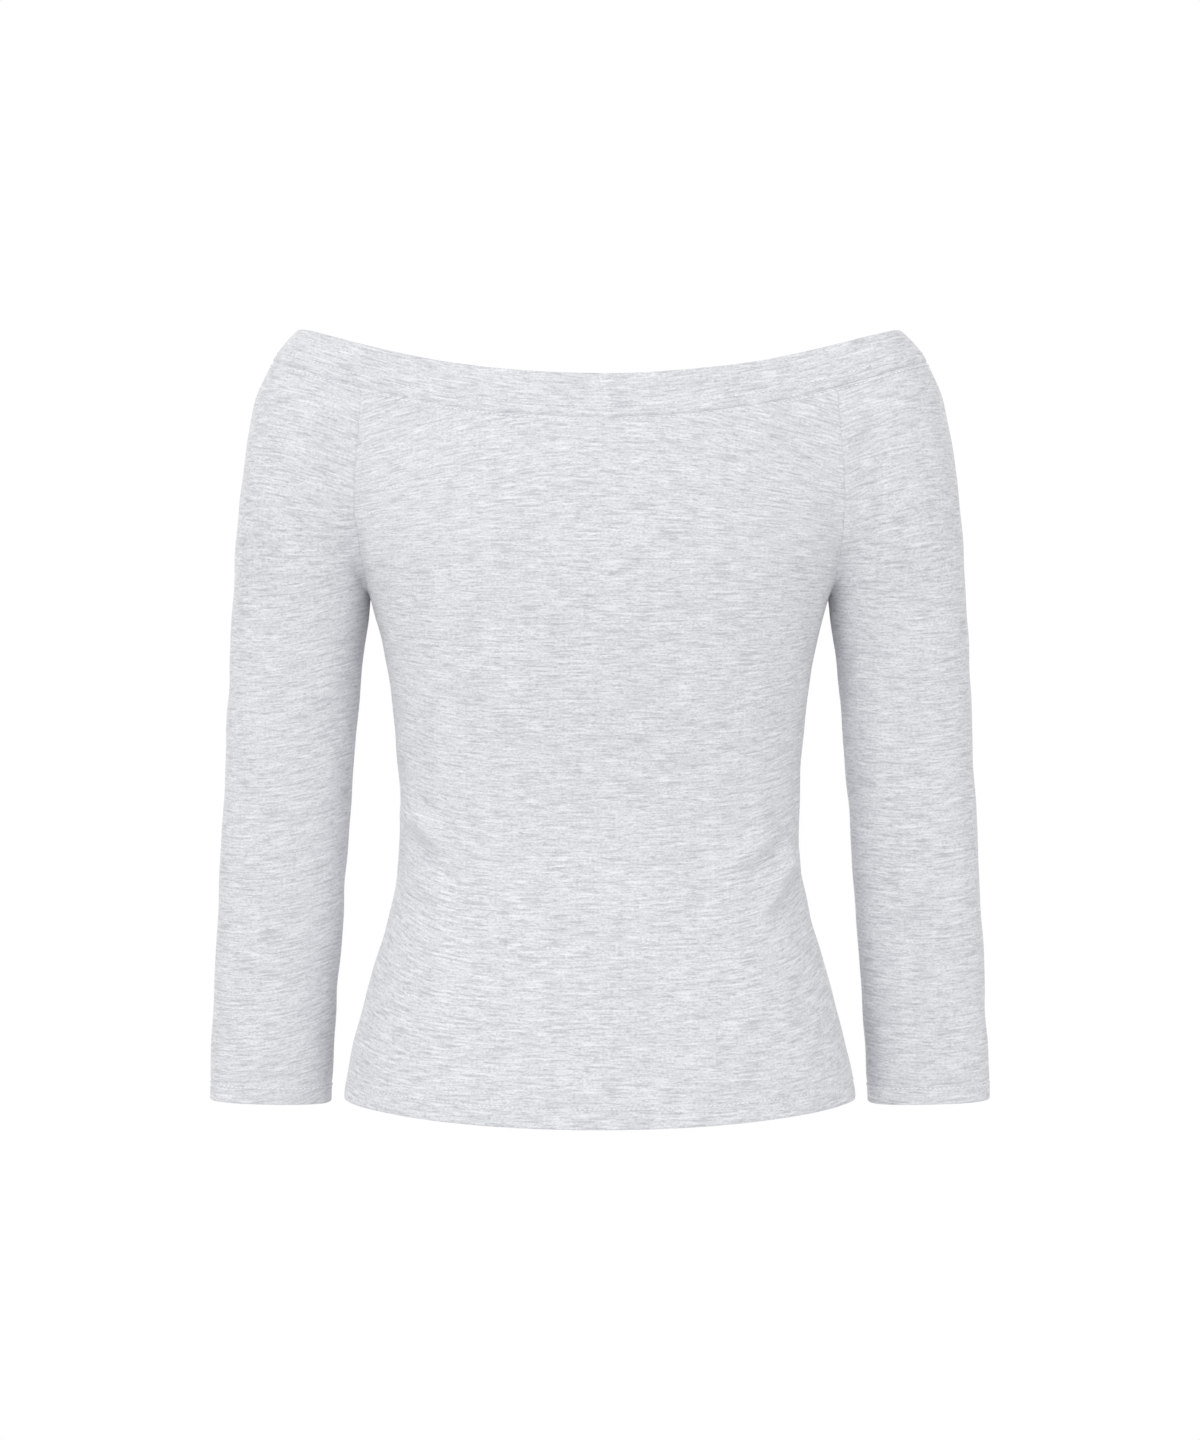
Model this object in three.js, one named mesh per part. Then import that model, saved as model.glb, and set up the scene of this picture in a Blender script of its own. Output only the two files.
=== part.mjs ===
// An off-shoulder jersey top in its worn, hollow form: two body panels, two long sleeves and a folded
// neckband. Millimetres, +Z up. The wearer faces +Y, so the back panel lies on the -Y side.
// The origin is midway between the shoulders, level with the highest points of the neckband.

import * as THREE from 'three';
import { mergeVertices } from 'three/addons/utils/BufferGeometryUtils.js';

// Cloth and seams
const WALL = 1.2;
const BAND_WALL = 2.2;
const BAND_PROUD = 0.4;
const TURN_UP = 12;
const TURN_UP_STEP = 1;
const SEAM_GAP = 0.3;

// Heights of the main lines
const UNDERARM_Z = -166;
const HEM_SIDE_Z = -478;
const HEM_DIP = 9.5;
const HEM_HALF = 160;
const CUFF_Z = -483;
const CUFF_TILT = 0.04;
const CUFF_SLANT = 0.025;

// Neck edge and the seam under the band: a height at the middle of each side and one at the arms
const NECK_EDGE = { back: -33.3, front: -42.5, side: -1.2, reach: 186 };
const NECK_SEAM = { back: -60, front: -69, side: -20.5, reach: 204.7 };
const NECK_TURN = 40;

// The side seam, and the sleeve seam measured from the arm's middle
const SIDE_SEAM_Y = 4;
const SLEEVE_SEAM_OFFSET = -6;

// Body sections: half width, depth to the back and depth to the front
const TORSO_ROUNDNESS = 2.4;
const TORSO = [
  { z: 12, half: 147, back: 71, front: 62 },
  { z: 0, half: 150, back: 74, front: 66 },
  { z: -33, half: 157, back: 80, front: 74 },
  { z: -60, half: 160, back: 86, front: 82 },
  { z: -100, half: 162, back: 95, front: 96 },
  { z: -120, half: 161, back: 97, front: 103 },
  { z: -140, half: 156, back: 98, front: 108 },
  { z: -158, half: 147, back: 97, front: 111.5 },
  { z: -166, half: 143.1, back: 96.3, front: 113.2 },
  { z: -178, half: 139.6, back: 94.6, front: 115.8 },
  { z: -193, half: 135.9, back: 92, front: 118 },
  { z: -230, half: 129.7, back: 86, front: 114 },
  { z: -268, half: 125.9, back: 78, front: 103 },
  { z: -305, half: 124.6, back: 74, front: 94 },
  { z: -335, half: 125.6, back: 76, front: 93 },
  { z: -368, half: 132.2, back: 83, front: 96 },
  { z: -393, half: 139.7, back: 90, front: 100 },
  { z: -430, half: 149.7, back: 100, front: 105 },
  { z: -468, half: 158.4, back: 109, front: 108 },
  { z: -478, half: 159.4, back: 111, front: 108.5 },
  { z: -492, half: 156, back: 113, front: 109 },
];

// Arm sections: outermost reach, half width, how far forward the middle lies, and half depth
const ARM_ROUNDNESS = 2.5;
const ARM = [
  { z: 12, outer: 168, half: 48, y: 0, depth: 56 },
  { z: 0, outer: 185.5, half: 52, y: 0, depth: 58 },
  { z: -10, outer: 196.2, half: 53, y: 0, depth: 59 },
  { z: -20, outer: 203.3, half: 53, y: 0, depth: 60 },
  { z: -40, outer: 212.6, half: 53.7, y: 0, depth: 61 },
  { z: -60, outer: 217.5, half: 53.5, y: 0, depth: 62 },
  { z: -80, outer: 221, half: 52, y: 1, depth: 61.5 },
  { z: -105, outer: 224.2, half: 48.7, y: 3, depth: 60 },
  { z: -130, outer: 226.8, half: 46, y: 6, depth: 56.5 },
  { z: -150, outer: 228.2, half: 44.5, y: 8, depth: 52 },
  { z: -166, outer: 229.2, half: 42.95, y: 9.6, depth: 48 },
  { z: -178, outer: 230.2, half: 42.6, y: 10.5, depth: 46 },
  { z: -193, outer: 231.3, half: 42, y: 11, depth: 44 },
  { z: -230, outer: 232.8, half: 40.9, y: 12, depth: 39.5 },
  { z: -293, outer: 236.1, half: 39.9, y: 15, depth: 34 },
  { z: -368, outer: 240.5, half: 39.4, y: 20, depth: 29.5 },
  { z: -418, outer: 243.3, half: 38.8, y: 24, depth: 27 },
  { z: -474, outer: 246.2, half: 38.5, y: 28, depth: 25.5 },
  { z: -492, outer: 246.6, half: 38.4, y: 29, depth: 25 },
];

// The armhole: where its seam runs, and how softly body and arm run into each other
const ARMHOLE = [
  { z: 12, seam: 142, blend: 36 },
  { z: -40, seam: 145, blend: 36 },
  { z: -68, seam: 147, blend: 32 },
  { z: -93, seam: 149.3, blend: 26 },
  { z: -118, seam: 150, blend: 16 },
  { z: -143, seam: 148, blend: 7 },
  { z: -154, seam: 146.2, blend: 3 },
  { z: -161, seam: 144.5, blend: 1 },
  { z: -166, seam: 143.2, blend: 0.5 },
];

// Drag creases: height above the smooth cloth (troughs negative) and width, from one point to another
const CREASES = [
  { side: 'back', x: -128, z: -300, toX: -70, toZ: -348, height: 2.6, width: 8 },
  { side: 'back', x: -126, z: -320, toX: -92, toZ: -346, height: -1.7, width: 7 },
  { side: 'back', x: -84, z: -336, toX: -24, toZ: -382, height: 1.3, width: 11 },
  { side: 'back', x: 122, z: -311, toX: 72, toZ: -341, height: 1.8, width: 7 },
  { side: 'back', x: 124, z: -318, toX: 86, toZ: -354, height: -1.8, width: 7 },
  { side: 'back', x: 130, z: -328, toX: 90, toZ: -366, height: 2.8, width: 7 },
  { side: 'back', x: 84, z: -336, toX: -36, toZ: -380, height: 1.2, width: 12 },
  { side: 'front', x: 122, z: -296, toX: 80, toZ: -326, height: -1.9, width: 8 },
  { side: 'front', x: 124, z: -318, toX: 92, toZ: -350, height: 1.6, width: 7 },
  { side: 'front', x: -122, z: -304, toX: -84, toZ: -338, height: -2.0, width: 8 },
  { side: 'front', x: -124, z: -326, toX: -96, toZ: -360, height: 1.7, width: 7 },
  { side: 'front', x: 10, z: -374, toX: 66, toZ: -362, height: -0.9, width: 12 },
  { side: 'back', x: 164, z: -56, toX: 164, toZ: -124, height: -3.2, width: 8 },
  { side: 'back', x: 166, z: -104, toX: 148, toZ: -160, height: -2.4, width: 8 },
  { side: 'back', x: -166, z: -72, toX: -164, toZ: -120, height: -1.3, width: 10 },
  { side: 'front', x: 164, z: -78, toX: 159, toZ: -124, height: -1.6, width: 10 },
  { side: 'front', x: -165, z: -72, toX: -161, toZ: -118, height: -1.6, width: 10 },
  { side: 'back', x: 178, z: -274, toX: 214, toZ: -281, height: -0.9, width: 9 },
  { side: 'back', x: -170, z: -258, toX: -206, toZ: -273, height: -0.8, width: 9 },
  { side: 'front', x: 174, z: -262, toX: 216, toZ: -274, height: -1.5, width: 9 },
  { side: 'front', x: -174, z: -272, toX: -216, toZ: -268, height: -1.4, width: 9 },
];
const CREASE_FADE = 20;

// How finely the sheets are divided. Rows lie closest at the waist, where most of the creases are.
const PANEL_HALF_COLUMNS = 18;
const PANEL_CROWDING = 0.9;
const SLEEVE_HALF_COLUMNS = 12;
const BAND_HALF_COLUMNS = 42;
const FINE_SAMPLES = 60;
const YOKE_SHARES = [0.025, 0.08, 0.17, 0.3, 0.45, 0.6, 0.74, 0.87, 1];
const EDGE_HOLD = 6;
const EDGE_HOLD_LIMIT = 0.8;
const BODY_LENGTH = UNDERARM_Z - (HEM_SIDE_Z - HEM_DIP);
const CREASED = { from: 116, to: 188 };
const BODY_RISES = [
  ...steps(TURN_UP + TURN_UP_STEP, CREASED.from, 6),
  ...steps(CREASED.from, CREASED.to, 10),
  ...steps(CREASED.to, BODY_LENGTH, 7),
];
const SLEEVE_RISES = steps(TURN_UP + TURN_UP_STEP, UNDERARM_Z - CUFF_Z, 15);
const BAND_LEVELS = [0, 0.35, 0.7, 1];

// Numbers for walking out to a surface and measuring its slope
const MARCH = 1;
const HALVINGS = 20;
const SETTLES = 4;
const SLOPE_STEP = 0.4;
const EDGE_PROBE = 0.35;
const NEXT_TO_NOTHING = 1e-6;
const WELD = 1e-3;

function steps(from, to, count) {
  return Array.from({ length: count }, (_, i) => from + ((to - from) * (i + 1)) / count);
}

const mix = (a, b, t) => a + (b - a) * t;
const smooth = (t) => {
  const s = Math.min(Math.max(t, 0), 1);
  return s * s * (3 - 2 * s);
};

// A smooth curve down each column of a table whose rows run from the top down
function rowAt(table, z) {
  const below = table.findIndex((row, i) => i > 0 && z >= row.z);
  const i = (below < 0 ? table.length - 1 : below) - 1;
  const upper = table[i];
  const lower = table[i + 1];
  const span = lower.z - upper.z;
  const t = (z - upper.z) / span;
  const row = {};
  for (const column of Object.keys(upper)) {
    const leave = slopeAt(table, i, column) * span;
    const arrive = slopeAt(table, i + 1, column) * span;
    const rise = lower[column] - upper[column];
    row[column] = upper[column] + t * (leave + t * (3 * rise - 2 * leave - arrive)
      + t * t * (leave + arrive - 2 * rise));
  }
  return row;
}

function slopeAt(table, i, column) {
  const before = table[Math.max(i - 1, 0)];
  const after = table[Math.min(i + 1, table.length - 1)];
  return (after[column] - before[column]) / (after.z - before.z);
}

function sectionAt(z) {
  const arm = rowAt(ARM, z);
  arm.x = arm.outer - arm.half;
  return { z, torso: rowAt(TORSO, z), arm, armhole: rowAt(ARMHOLE, Math.max(z, UNDERARM_Z)) };
}

// How far a point lies outside a rounded section, negative inside
function beyond(x, y, half, depth, roundness) {
  const reach = (Math.abs(x / half) ** roundness + Math.abs(y / depth) ** roundness) ** (1 / roundness);
  return reach < NEXT_TO_NOTHING ? -half : ((reach - 1) * Math.hypot(x, y)) / reach;
}

function beyondTorso(x, y, { torso }) {
  return beyond(x, y, torso.half, y < 0 ? torso.back : torso.front, TORSO_ROUNDNESS);
}

function beyondArm(x, y, { arm }) {
  return beyond(Math.abs(x) - arm.x, y - arm.y, arm.half, arm.depth, ARM_ROUNDNESS);
}

// Body and arms in one form, with a soft valley between them
function beyondBoth(x, y, section) {
  const torso = beyondTorso(x, y, section);
  const arm = beyondArm(x, y, section);
  const { blend } = section.armhole;
  const shared = Math.max(blend - Math.abs(torso - arm), 0) / blend;
  return Math.min(torso, arm) - (shared * shared * blend) / 4;
}

const beyondPanel = (x, y, section) => {
  if (section.z <= UNDERARM_Z) return beyondTorso(x, y, section);
  return Math.abs(x) > section.armhole.seam ? 1 : beyondBoth(x, y, section);
};

const beyondSleeve = (x, y, section) => {
  if (section.z <= UNDERARM_Z) return beyondArm(x, y, section);
  return x < section.armhole.seam ? 1 : beyondBoth(x, y, section);
};

// Walks out from a point inside the form to its surface
function cast(form, startX, startY, angle, section) {
  const stepX = Math.cos(angle);
  const stepY = Math.sin(angle);
  const outside = (way) => form(startX + stepX * way, startY + stepY * way, section) > 0;
  let near = 0;
  while (!outside(near + MARCH)) near += MARCH;
  let far = near + MARCH;
  for (let i = 0; i < HALVINGS; i += 1) {
    const middle = (near + far) / 2;
    if (outside(middle)) far = middle;
    else near = middle;
  }
  return new THREE.Vector3(startX + stepX * near, startY + stepY * near, section.z);
}

// The height of a line round the neck, which is lowest at the middle of the back and of the front
function neckHeight(line, x, y) {
  const middle = mix(line.back, line.front, smooth((y + NECK_TURN) / (2 * NECK_TURN)));
  return mix(middle, line.side, (x / line.reach) ** 2);
}

const hemHeight = (x) => HEM_SIDE_Z - HEM_DIP * Math.max(0, 1 - (x / HEM_HALF) ** 2);
const cuffHeight = (x, y) => {
  const arm = rowAt(ARM, CUFF_Z);
  return CUFF_Z + CUFF_TILT * (y - arm.y) + CUFF_SLANT * (x - arm.outer + arm.half);
};

// Levels 0 to 1 climb from the hem or cuff to the underarm, and 1 to 2 from there to the neck seam
function sewnHeight(bottomHeight, level, x, y) {
  if (level <= 1) return mix(bottomHeight(x, y), UNDERARM_Z, level);
  const top = neckHeight(NECK_SEAM, x, y) - SEAM_GAP / 2;
  return mix(UNDERARM_Z, top, level - 1);
}

function levelsFor(rises) {
  const length = rises.at(-1);
  const below = [0, TURN_UP, TURN_UP + TURN_UP_STEP, ...rises].map((rise) => ({
    level: rise / length,
    wall: rise <= TURN_UP ? 2 * WALL : WALL,
  }));
  const above = YOKE_SHARES.map((share) => ({ level: 1 + share, wall: WALL }));
  return [...below, ...above];
}

// The place where a level meets a seam, found by settling the height and the reach in turn
function settle(heightAt, place, guess) {
  let point = place(sectionAt(guess));
  for (let i = 0; i < SETTLES; i += 1) point = place(sectionAt(heightAt(point.x, point.y)));
  return point;
}

function bodyPiece(name, facing) {
  const front = facing > 0;
  const heightAt = (level) => (x, y) => sewnHeight(hemHeight, level, x, y);
  const seamY = SIDE_SEAM_Y + (facing * SEAM_GAP) / 2;
  const sideEdge = (section) => cast(beyondTorso, 0, seamY, 0, section);
  const armholeEdge = (section) =>
    cast(beyondBoth, section.armhole.seam - SEAM_GAP / 2, SIDE_SEAM_Y, (facing * Math.PI) / 2, section);
  return {
    name,
    form: beyondPanel,
    levels: levelsFor(BODY_RISES),
    halfColumns: PANEL_HALF_COLUMNS,
    crowding: PANEL_CROWDING,
    facing: (facing * Math.PI) / 2,
    middle: () => ({ x: 0, y: 0 }),
    middleY: () => SIDE_SEAM_Y,
    heightAt,
    edges(level) {
      const place = level <= 1 ? sideEdge : armholeEdge;
      const right = settle(heightAt(level), place, UNDERARM_Z);
      const left = new THREE.Vector3(-right.x, right.y, right.z);
      return front ? [right, left] : [left, right];
    },
  };
}

function sleevePiece(name, mirrored) {
  const heightAt = (level) => (x, y) => sewnHeight(cuffHeight, level, x, y);
  const seam = (section) =>
    cast(beyondArm, section.arm.x, section.arm.y + SLEEVE_SEAM_OFFSET, Math.PI, section);
  const armhole = (facing) => (section) =>
    cast(beyondBoth, section.armhole.seam + SEAM_GAP / 2, SIDE_SEAM_Y, (facing * Math.PI) / 2, section);
  return {
    name,
    mirrored,
    form: beyondSleeve,
    levels: levelsFor(SLEEVE_RISES),
    halfColumns: SLEEVE_HALF_COLUMNS,
    crowding: 0,
    facing: 0,
    middle: (section) => ({ x: section.arm.x, y: section.arm.y }),
    middleY: (section) => section.arm.y,
    heightAt,
    edges(level) {
      if (level <= 1) {
        const closed = settle(heightAt(level), seam, UNDERARM_Z);
        return [closed, closed.clone()];
      }
      return [-1, 1].map((facing) => settle(heightAt(level), armhole(facing), UNDERARM_Z));
    },
  };
}

function bandPiece(name) {
  const heightAt = (level) => (x, y) =>
    mix(neckHeight(NECK_SEAM, x, y) + SEAM_GAP / 2, neckHeight(NECK_EDGE, x, y), level);
  const atBack = (section) => cast(beyondBoth, 0, 0, -Math.PI / 2, section);
  return {
    name,
    form: beyondBoth,
    levels: BAND_LEVELS.map((level) => ({ level, wall: BAND_WALL })),
    halfColumns: BAND_HALF_COLUMNS,
    crowding: 0,
    proud: BAND_PROUD,
    facing: Math.PI / 2,
    middle: () => ({ x: 0, y: 0 }),
    middleY: () => 0,
    heightAt,
    edges(level) {
      const closed = settle(heightAt(level), atBack, NECK_SEAM.back);
      return [closed, closed.clone()];
    },
  };
}

// The turn from the way that a piece faces to a point of its edge, one way round
function turnTo(piece, point, middle, way) {
  const raw = Math.atan2(point.y - middle.y, point.x - middle.x) - piece.facing;
  const turn = Math.atan2(Math.sin(raw), Math.cos(raw));
  return Math.sign(turn) === way ? turn : turn + way * 2 * Math.PI;
}

// Half of a row, from the way that the piece faces round to one of its edges
function halfRow(piece, level, way) {
  const edge = piece.edges(level)[way < 0 ? 0 : 1];
  const points = [];
  for (let i = 0; i < FINE_SAMPLES; i += 1) {
    points.push(settle(piece.heightAt(level), (section) => {
      const middle = piece.middle(section);
      const turn = (turnTo(piece, edge, middle, way) * i) / FINE_SAMPLES;
      return cast(piece.form, middle.x, middle.y, piece.facing + turn, section);
    }, edge.z));
  }
  return [...points, edge];
}

function lengthsAlong(points) {
  const lengths = [0];
  for (let i = 1; i < points.length; i += 1) {
    lengths.push(lengths[i - 1] + points[i].distanceTo(points[i - 1]));
  }
  return lengths;
}

// Spaces points along half a row. Over the underarm the row gets shorter at its edge alone, so the
// columns keep their places and only the last few draw together.
function spacedHalf(piece, level, way) {
  const fine = halfRow(piece, level, way);
  const lengths = lengthsAlong(fine);
  const length = lengths.at(-1);
  const full = level > 1 ? lengthsAlong(halfRow(piece, 1, way)).at(-1) : length;
  const lost = full - length;
  const hold = lost > 0 ? Math.min(EDGE_HOLD, (EDGE_HOLD_LIMIT * full) / lost) : EDGE_HOLD;
  const spaced = [];
  let i = 1;
  for (let n = 0; n <= piece.halfColumns; n += 1) {
    const even = n / piece.halfColumns;
    const share = piece.crowding > 0 ? Math.sin(even * piece.crowding) / Math.sin(piece.crowding) : even;
    const wanted = full * share - lost * share ** hold;
    while (i < fine.length - 1 && lengths[i] < wanted) i += 1;
    const t = (wanted - lengths[i - 1]) / (lengths[i] - lengths[i - 1]);
    spaced.push(fine[i - 1].clone().lerp(fine[i], t));
  }
  return spaced;
}

// One row of a piece, from its first edge round to its last
function outline(piece, level) {
  const [first, last] = [-1, 1].map((way) => spacedHalf(piece, level, way));
  return [...first.reverse(), ...last.slice(1)];
}

// The way out of the cloth at a point, from how the form changes along each axis
function outwards(form, { x, y, z }) {
  const here = sectionAt(z);
  const slope = (a, b) => (a - b) / (2 * SLOPE_STEP);
  const up = { ...sectionAt(z + SLOPE_STEP), z: here.z };
  const down = { ...sectionAt(z - SLOPE_STEP), z: here.z };
  return new THREE.Vector3(
    slope(form(x + SLOPE_STEP, y, here), form(x - SLOPE_STEP, y, here)),
    slope(form(x, y + SLOPE_STEP, here), form(x, y - SLOPE_STEP, here)),
    slope(form(x, y, up), form(x, y, down)),
  ).normalize();
}

const wholeForm = (piece, z) => {
  if (z > UNDERARM_Z) return beyondBoth;
  return piece.form === beyondSleeve ? beyondArm : beyondTorso;
};

function creaseHeight(point, side, distanceFromSide) {
  let height = 0;
  for (const crease of CREASES) {
    if (crease.side !== side) continue;
    const alongX = crease.toX - crease.x;
    const alongZ = crease.toZ - crease.z;
    const share = ((point.x - crease.x) * alongX + (point.z - crease.z) * alongZ)
      / (alongX * alongX + alongZ * alongZ);
    const t = Math.min(Math.max(share, 0), 1);
    const away = Math.hypot(point.x - crease.x - alongX * t, point.z - crease.z - alongZ * t);
    height += crease.height * Math.exp(-((away / crease.width) ** 2));
  }
  return height * smooth(distanceFromSide / CREASE_FADE);
}

// The way out at each point of a row. At an open edge it is read a little inside the piece, so that
// each piece keeps its own side of the armhole's valley.
function normalsOf(piece, row) {
  const last = row.length - 1;
  const closed = row[0].distanceTo(row[last]) < WELD;
  return row.map((point, i) => {
    const atEdge = !closed && (i === 0 || i === last);
    const beside = row[i === 0 ? 1 : last - 1];
    const probe = atEdge ? point.clone().lerp(beside, EDGE_PROBE) : point;
    return outwards(wholeForm(piece, point.z), probe);
  });
}

// A piece's rows of points, each with its outer and its inner place
function sheetOf(piece) {
  return piece.levels.map(({ level, wall }) => {
    const row = outline(piece, level);
    const normals = normalsOf(piece, row);
    const made = row.map((point, i) => {
      const place = point.clone();
      const normal = normals[i].clone();
      if (piece.mirrored) {
        place.x *= -1;
        normal.x *= -1;
      }
      const fromSide = place.y - piece.middleY(sectionAt(place.z));
      const side = fromSide < 0 ? 'back' : 'front';
      const raised = (piece.proud ?? 0) + creaseHeight(place, side, Math.abs(fromSide));
      place.addScaledVector(normal, raised);
      return { outer: place, inner: place.clone().addScaledVector(normal, -wall) };
    });
    return piece.mirrored ? made.reverse() : made;
  });
}

// Closes a sheet into a solid wall: outer face, inner face, and a strip along every open edge
function wallOf(rows) {
  const outer = [];
  const inner = [];
  for (const row of rows) {
    for (const place of row) {
      outer.push(...place.outer);
      inner.push(...place.inner);
    }
  }
  const width = rows[0].length;
  const faces = [];
  for (let r = 0; r < rows.length - 1; r += 1) {
    for (let c = 0; c < width - 1; c += 1) {
      const corner = r * width + c;
      faces.push(corner, corner + 1, corner + width + 1, corner, corner + width + 1, corner + width);
    }
  }
  const sheet = new THREE.BufferGeometry();
  sheet.setAttribute('position', new THREE.Float32BufferAttribute(outer, 3));
  sheet.setAttribute('inner', new THREE.Float32BufferAttribute(inner, 3));
  sheet.setIndex(faces);
  return closeSheet(mergeVertices(sheet, WELD));
}

function closeSheet(sheet) {
  const count = sheet.attributes.position.count;
  const index = Array.from(sheet.index.array);
  const ways = new Set();
  for (let f = 0; f < index.length; f += 3) {
    for (let k = 0; k < 3; k += 1) ways.add(`${index[f + k]},${index[f + ((k + 1) % 3)]}`);
  }
  const faces = [...index];
  for (let f = 0; f < index.length; f += 3) {
    faces.push(index[f] + count, index[f + 2] + count, index[f + 1] + count);
  }
  for (const way of ways) {
    const [a, b] = way.split(',').map(Number);
    if (ways.has(`${b},${a}`)) continue;
    faces.push(b, a, a + count, b, a + count, b + count);
  }
  const solid = new THREE.BufferGeometry();
  const places = [...sheet.attributes.position.array, ...sheet.attributes.inner.array];
  solid.setAttribute('position', new THREE.Float32BufferAttribute(places, 3));
  solid.setIndex(faces);
  solid.computeVertexNormals();
  return solid;
}

const jersey = () => new THREE.MeshStandardMaterial({ color: '#d9dade', roughness: 0.92, metalness: 0 });

const group = new THREE.Group();
const PIECES = [
  bodyPiece('back_panel', -1),
  bodyPiece('front_panel', 1),
  sleevePiece('left_sleeve', true),
  sleevePiece('right_sleeve', false),
  bandPiece('neckband'),
];
for (const piece of PIECES) {
  const mesh = new THREE.Mesh(wallOf(sheetOf(piece)), jersey());
  mesh.name = piece.name;
  group.add(mesh);
}

export default group;
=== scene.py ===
import math
from types import SimpleNamespace

import bpy
import numpy as np
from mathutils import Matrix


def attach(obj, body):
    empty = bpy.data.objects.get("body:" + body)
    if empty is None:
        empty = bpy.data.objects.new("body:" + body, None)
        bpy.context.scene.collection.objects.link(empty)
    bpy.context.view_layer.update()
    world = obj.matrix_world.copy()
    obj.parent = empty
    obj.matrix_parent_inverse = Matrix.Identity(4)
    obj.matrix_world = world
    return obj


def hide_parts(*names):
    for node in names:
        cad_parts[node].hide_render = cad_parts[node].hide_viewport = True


# An off-shoulder top of pale grey melange jersey in its worn, hollow form: a back and a front panel, two
# long sleeves and a neckband folded double. The wearer faces +Y, so the camera sees the back panel.
# Cloth is worked out in millimetres and made in metres.

bl_info = {
    "name": "Off-shoulder jersey top",
    "version": (1, 0, 0),
    "blender": (4, 5, 0),
    "location": "View3D > Sidebar > Knit top",
    "description": "Sews a worn off-shoulder top from two panels, two sleeves and a folded neckband",
    "category": "Object",
}

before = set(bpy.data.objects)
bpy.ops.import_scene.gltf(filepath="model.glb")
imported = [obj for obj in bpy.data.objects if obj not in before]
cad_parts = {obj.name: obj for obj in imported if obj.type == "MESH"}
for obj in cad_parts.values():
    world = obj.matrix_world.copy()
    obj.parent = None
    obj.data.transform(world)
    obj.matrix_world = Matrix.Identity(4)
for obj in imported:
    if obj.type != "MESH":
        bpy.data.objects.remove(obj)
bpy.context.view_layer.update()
MM = 0.001

# Heights of the main lines, and the widths of the folds
UNDERARM_Z = -166
HEM_SIDE_Z = -478
HEM_DIP = 9.5
HEM_HALF = 160
CUFF_Z = -483
CUFF_TILT = 0.04
CUFF_SLANT = 0.025
BODY_LENGTH = UNDERARM_Z - (HEM_SIDE_Z - HEM_DIP)
SLEEVE_LENGTH = UNDERARM_Z - CUFF_Z
TURN_UP = 12
BAND_WIDTH = 27
NECK_EDGE = SimpleNamespace(back=-33.3, front=-42.5, side=-1.2, reach=186)
NECK_SEAM = SimpleNamespace(back=-60, front=-69, side=-20.5, reach=204.7)
NECK_TURN = 40
SIDE_SEAM_Y = 4
SLEEVE_SEAM_OFFSET = -6
BAND_JOIN = math.radians(157)
SEAM_GAP = 0.06
WHOLE_TURN = 2 * math.pi

# Half the breadth over which the columns of each piece are spread
PANEL_SPREAD = 190
SLEEVE_SPREAD = 120
BAND_SPREAD = 470

# Where each piece is cut from the cloth, so that no two show the same streaks
CLOTH_PLACES = {
    "back_panel": (0, 0),
    "front_panel": (900, 40),
    "left_sleeve": (1700, 10),
    "right_sleeve": (2300, 25),
    "neckband": (2900, 500),
}


def table(columns, *rows):
    """A short table as one array for each named column."""
    return dict(zip(columns.split(), np.array(rows, float).T))


# Body sections: half width, depth to the back and depth to the front
TORSO_ROUNDNESS = 2.4
TORSO = table(
    "z half back front",
    (12, 147, 71, 62),
    (0, 150, 74, 66),
    (-33, 157, 80, 74),
    (-60, 160, 86, 82),
    (-100, 162, 95, 96),
    (-120, 161, 97, 103),
    (-140, 156, 98, 108),
    (-158, 147, 97, 111.5),
    (-166, 143.1, 96.3, 113.2),
    (-178, 139.6, 94.6, 115.8),
    (-193, 135.9, 92, 118),
    (-230, 129.7, 86, 114),
    (-268, 125.9, 78, 103),
    (-305, 124.6, 74, 94),
    (-335, 125.6, 76, 93),
    (-368, 132.2, 83, 96),
    (-393, 139.7, 90, 100),
    (-430, 149.7, 100, 105),
    (-468, 158.4, 109, 108),
    (-478, 159.4, 111, 108.5),
    (-492, 156, 113, 109),
)

# Arm sections: outermost reach, half width, how far forward the middle lies, and half depth
ARM_ROUNDNESS = 2.5
ARM = table(
    "z outer half y depth",
    (12, 168, 48, 0, 56),
    (0, 185.5, 52, 0, 58),
    (-10, 196.2, 53, 0, 59),
    (-20, 203.3, 53, 0, 60),
    (-40, 212.6, 53.7, 0, 61),
    (-60, 217.5, 53.5, 0, 62),
    (-80, 221, 52, 1, 61.5),
    (-105, 224.2, 48.7, 3, 60),
    (-130, 226.8, 46, 6, 56.5),
    (-150, 228.2, 44.5, 8, 52),
    (-166, 229.2, 42.95, 9.6, 48),
    (-178, 230.2, 42.6, 10.5, 46),
    (-193, 231.3, 42, 11, 44),
    (-230, 232.8, 40.9, 12, 39.5),
    (-293, 236.1, 39.9, 15, 34),
    (-368, 240.5, 39.4, 20, 29.5),
    (-418, 243.3, 38.8, 24, 27),
    (-474, 246.2, 38.5, 28, 25.5),
    (-492, 246.6, 38.4, 29, 25),
)

# The armhole: where its seam runs, and how softly body and arm run into each other
ARMHOLE = table(
    "z seam blend",
    (12, 142, 36),
    (-40, 145, 36),
    (-68, 147, 32),
    (-93, 149.3, 26),
    (-118, 150, 16),
    (-143, 148, 7),
    (-154, 146.2, 3),
    (-161, 144.5, 1),
    (-166, 143.2, 0.5),
)

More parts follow.
